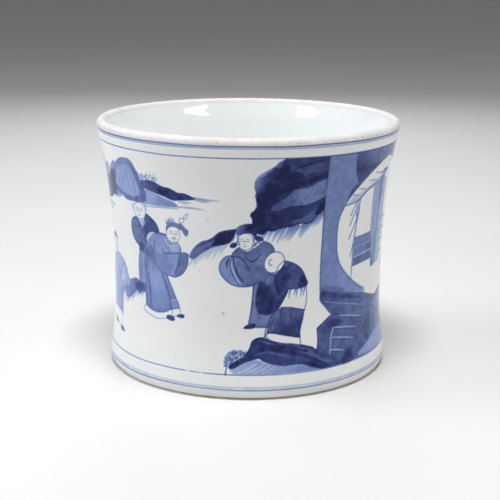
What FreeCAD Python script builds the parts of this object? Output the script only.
"""Brush holder pot: a wide round porcelain vessel with a slight waist and a flared lip.

Frame: millimetres, +Z up, origin at the centre of the plane that the foot stands on.
The pot is one fired piece with no joints.  Its nodes are the layers that a cut section
would show: the white body, the glaze in its four zones (outside, lip, inside and base
recess), and the cobalt rings painted on the body underneath the outside glaze.
"""
import FreeCAD, Part
import math
import os

V = FreeCAD.Vector

# ---- driving dimensions ----------------------------------------------------------
HEIGHT = 150.0
RIM_RADIUS = 91.4                # widest point of the rounded lip
LIP_RADIUS = 3.1                 # half the wall's thickness at the lip
LIP_SLOPE = 0.20                 # change of radius with height where wall meets lip

# outside of the wall from the glaze's lower edge upwards: height, radius, slope
WALL_KNOTS = (
    (1.2, 84.3, 0.60),           # lower edge of the glaze
    (6.5, 85.8, -0.11),          # widest point of the foot flare
    (26.0, 83.2, -0.12),
    (50.0, 82.2, 0.0),           # waist
    (82.0, 83.0, 0.07),
    (112.0, 85.3, 0.10),
)
WAIST_KNOT = 3                   # the inside wall follows the outside from here up

FOOT_RADIUS = 83.3               # outer edge of the bare bearing face
FOOT_RING_WIDTH = 13.0
RECESS_DEPTH = 4.0               # recess inside the foot ring, before glazing
RECESS_FILLET = 2.0

FLOOR_TOP = 12.0                 # inside floor, above the standing plane
FLOOR_FILLET = 14.0              # inside corner between floor and wall
CORNER_SLOPE = -0.11             # slope of the inside wall where that corner ends
FLOOR_LEVEL_THICKNESS = 7.6      # wall thickness at the level of the inside floor

GLAZE = 0.45                     # thickness of the glaze
PIGMENT = 0.15                   # depth of a painted ring under the glaze
MARGIN = 5.0                     # how far cutting slabs reach past the wall

# painted rings: name, height of the ring's middle, width
RINGS = (
    ("rim_line_upper", 145.7, 1.0),
    ("rim_line_pale", 144.4, 0.6),
    ("rim_line_lower", 139.1, 0.8),
    ("foot_line_upper", 14.8, 0.8),
    ("foot_line_pale", 7.7, 0.7),
    ("foot_line_lower", 6.1, 0.9),
)


# ---- outlines: each lies in the XZ plane, X being the distance from the pot's axis ---
def line(a, b):
    return Part.LineSegment(V(a[0], 0, a[1]), V(b[0], 0, b[1])).toShape()


def on_circle(centre, radius, angle):
    return (centre[0] + radius * math.cos(angle), centre[1] + radius * math.sin(angle))


def arc(centre, radius, start, end):
    """Arc between two angles in radians, counted from the outward direction."""
    angles = (start, 0.5 * (start + end), end)
    points = [on_circle(centre, radius, angle) for angle in angles]
    return Part.Arc(*(V(r, 0, z) for r, z in points)).toShape()


def curve_through(knots):
    """Cubic edges that join knots of (height, radius, slope) without a kink."""
    edges = []
    for (z0, r0, s0), (z1, r1, s1) in zip(knots[:-1], knots[1:]):
        third = (z1 - z0) / 3.0
        curve = Part.BezierCurve()
        curve.setPoles([
            V(r0, 0, z0),
            V(r0 + s0 * third, 0, z0 + third),
            V(r1 - s1 * third, 0, z1 - third),
            V(r1, 0, z1),
        ])
        edges.append(curve.toShape())
    return edges


def revolve(edges):
    """Solid made by turning a closed outline once round the pot's axis."""
    wire = Part.Wire(Part.__sortEdges__(edges))
    solid = Part.Face(wire).revolve(V(0, 0, 0), V(0, 0, 1), 360)
    if solid.Volume < 0:
        solid.reverse()
    return solid


# ---- lip: a half round between the two sides of the wall ----------------------------
LIP_CENTRE = (RIM_RADIUS - LIP_RADIUS, HEIGHT - LIP_RADIUS)
LIP_LEAN = math.atan(LIP_SLOPE)
LIP_OUTSIDE = -LIP_LEAN
LIP_INSIDE = math.pi - LIP_LEAN


def lip_point(angle, depth):
    return on_circle(LIP_CENTRE, LIP_RADIUS - depth, angle)


def lip_knot(angle, depth):
    radius, height = lip_point(angle, depth)
    return (height, radius, LIP_SLOPE)


# ---- the wall's two sides; depth is measured into the wall from the glaze's surface --
def outside_knots(depth):
    knots = [(z, r - depth, slope) for z, r, slope in WALL_KNOTS]
    return knots + [lip_knot(LIP_OUTSIDE, depth)]


def outside_radius(height):
    """Radius of the glazed outside, from the same cubics as the outline."""
    knots = outside_knots(0.0)
    for (z0, r0, s0), (z1, r1, s1) in zip(knots[:-1], knots[1:]):
        if z0 <= height <= z1:
            span = z1 - z0
            t = (height - z0) / span
            start = (1 + 2 * t) * (1 - t) ** 2 * r0 + t * (1 - t) ** 2 * span * s0
            end = t * t * (3 - 2 * t) * r1 + t * t * (t - 1) * span * s1
            return start + end
    raise ValueError("height is off the wall")


LIP_THICKNESS = 2.0 * LIP_RADIUS
WALL_TOP = lip_point(LIP_OUTSIDE, 0.0)[1]
THICKNESS_SLOPE = (LIP_THICKNESS - FLOOR_LEVEL_THICKNESS) / (WALL_TOP - FLOOR_TOP)


def wall_thickness(height):
    """Thickness grows evenly from the lip down to the floor."""
    return LIP_THICKNESS + THICKNESS_SLOPE * (height - WALL_TOP)


CORNER_ANGLE = -math.atan(CORNER_SLOPE)
CORNER_END = FLOOR_TOP + FLOOR_FILLET * (1.0 + math.sin(CORNER_ANGLE))
CORNER_CENTRE = (
    outside_radius(CORNER_END) - wall_thickness(CORNER_END)
    - FLOOR_FILLET * math.cos(CORNER_ANGLE),
    FLOOR_TOP + FLOOR_FILLET,
)


def inside_knots(depth):
    radius, height = on_circle(CORNER_CENTRE, FLOOR_FILLET + depth, CORNER_ANGLE)
    knots = [(height, radius, CORNER_SLOPE)]
    for z, r, slope in WALL_KNOTS[WAIST_KNOT:]:
        knots.append((z, r - wall_thickness(z) + depth, slope - THICKNESS_SLOPE))
    return knots + [lip_knot(LIP_INSIDE, depth)]


def inside_outline(depth):
    """Inside surface from the axis at the floor out to the lip."""
    floor = FLOOR_TOP - depth
    corner = arc(CORNER_CENTRE, FLOOR_FILLET + depth, -math.pi / 2, CORNER_ANGLE)
    start = (CORNER_CENTRE[0], floor)
    return [line((0, floor), start), corner] + curve_through(inside_knots(depth))


def lip_outline(depth):
    return arc(LIP_CENTRE, LIP_RADIUS - depth, LIP_OUTSIDE, LIP_INSIDE)


# ---- foot: a bare ring round a shallow glazed recess --------------------------------
RECESS_RADIUS = FOOT_RADIUS - FOOT_RING_WIDTH
RECESS_CORNER = (RECESS_RADIUS - RECESS_FILLET, RECESS_DEPTH - RECESS_FILLET)
GLAZE_EDGE = WALL_KNOTS[0][0]


def recess_outline(proud):
    """Recess from its lower edge in to the axis, proud of the bare body."""
    wall = RECESS_RADIUS - proud
    ceiling = RECESS_DEPTH - proud
    return [
        line((wall, GLAZE_EDGE), (wall, RECESS_CORNER[1])),
        arc(RECESS_CORNER, RECESS_FILLET - proud, 0.0, math.pi / 2),
        line((RECESS_CORNER[0], ceiling), (0, ceiling)),
    ]


# ---- the layers ---------------------------------------------------------------------
def porcelain_body():
    """Thrown and turned white body; its foot ring is left bare."""
    glaze_line = (WALL_KNOTS[0][1] - GLAZE, GLAZE_EDGE)
    foot_outer = (FOOT_RADIUS, 0)
    foot_inner = (RECESS_RADIUS, 0)
    edges = inside_outline(GLAZE) + [lip_outline(GLAZE)]
    edges += curve_through(outside_knots(GLAZE))
    edges += [
        line(glaze_line, foot_outer),
        line(foot_outer, foot_inner),
        line(foot_inner, (RECESS_RADIUS, GLAZE_EDGE)),
    ]
    edges += recess_outline(0.0)
    edges.append(line((0, RECESS_DEPTH), (0, FLOOR_TOP - GLAZE)))
    return revolve(edges)


def outside_layer(depth_outer, depth_inner):
    """Shell of the outside wall between two depths below the glaze's surface."""
    outer = outside_knots(depth_outer)
    inner = outside_knots(depth_inner)
    edges = curve_through(outer) + curve_through(inner)
    for z_outer, z_inner in ((outer[0], inner[0]), (outer[-1], inner[-1])):
        edges.append(line((z_outer[1], z_outer[0]), (z_inner[1], z_inner[0])))
    return revolve(edges)


def painted_rings():
    """Cobalt rings: thin bands lying on the body, under the glaze."""
    layer = outside_layer(GLAZE - PIGMENT, GLAZE)
    rings = {}
    for name, middle, width in RINGS:
        base = V(0, 0, middle - width / 2)
        slab = Part.makeCylinder(RIM_RADIUS + MARGIN, width, base)
        rings[name] = layer.common(slab).Solids[0]
    return rings


def outer_glaze(rings):
    shell = outside_layer(0.0, GLAZE)
    return shell.cut(list(rings.values())).Solids[0]


def lip_glaze():
    edges = [lip_outline(0.0), lip_outline(GLAZE)]
    for angle in (LIP_OUTSIDE, LIP_INSIDE):
        edges.append(line(lip_point(angle, 0.0), lip_point(angle, GLAZE)))
    return revolve(edges)


def inner_glaze():
    edges = inside_outline(0.0) + inside_outline(GLAZE)
    edges.append(line(lip_point(LIP_INSIDE, 0.0), lip_point(LIP_INSIDE, GLAZE)))
    edges.append(line((0, FLOOR_TOP), (0, FLOOR_TOP - GLAZE)))
    return revolve(edges)


def base_glaze():
    edges = recess_outline(0.0) + recess_outline(GLAZE)
    edges.append(line((RECESS_RADIUS, GLAZE_EDGE), (RECESS_RADIUS - GLAZE, GLAZE_EDGE)))
    edges.append(line((0, RECESS_DEPTH), (0, RECESS_DEPTH - GLAZE)))
    return revolve(edges)


def build():
    nodes = painted_rings()
    nodes["outer_glaze"] = outer_glaze(nodes)
    nodes["porcelain_body"] = porcelain_body()
    nodes["lip_glaze"] = lip_glaze()
    nodes["inner_glaze"] = inner_glaze()
    nodes["base_glaze"] = base_glaze()
    return nodes


os.makedirs("parts", exist_ok=True)
for node, shape in build().items():
    if not shape.isValid():
        raise RuntimeError(node + " is not a valid solid")
    shape.exportStep("parts/" + node + ".step")
    print("%-16s %d solid, %10.2f mm3" % (node, len(shape.Solids), shape.Volume))
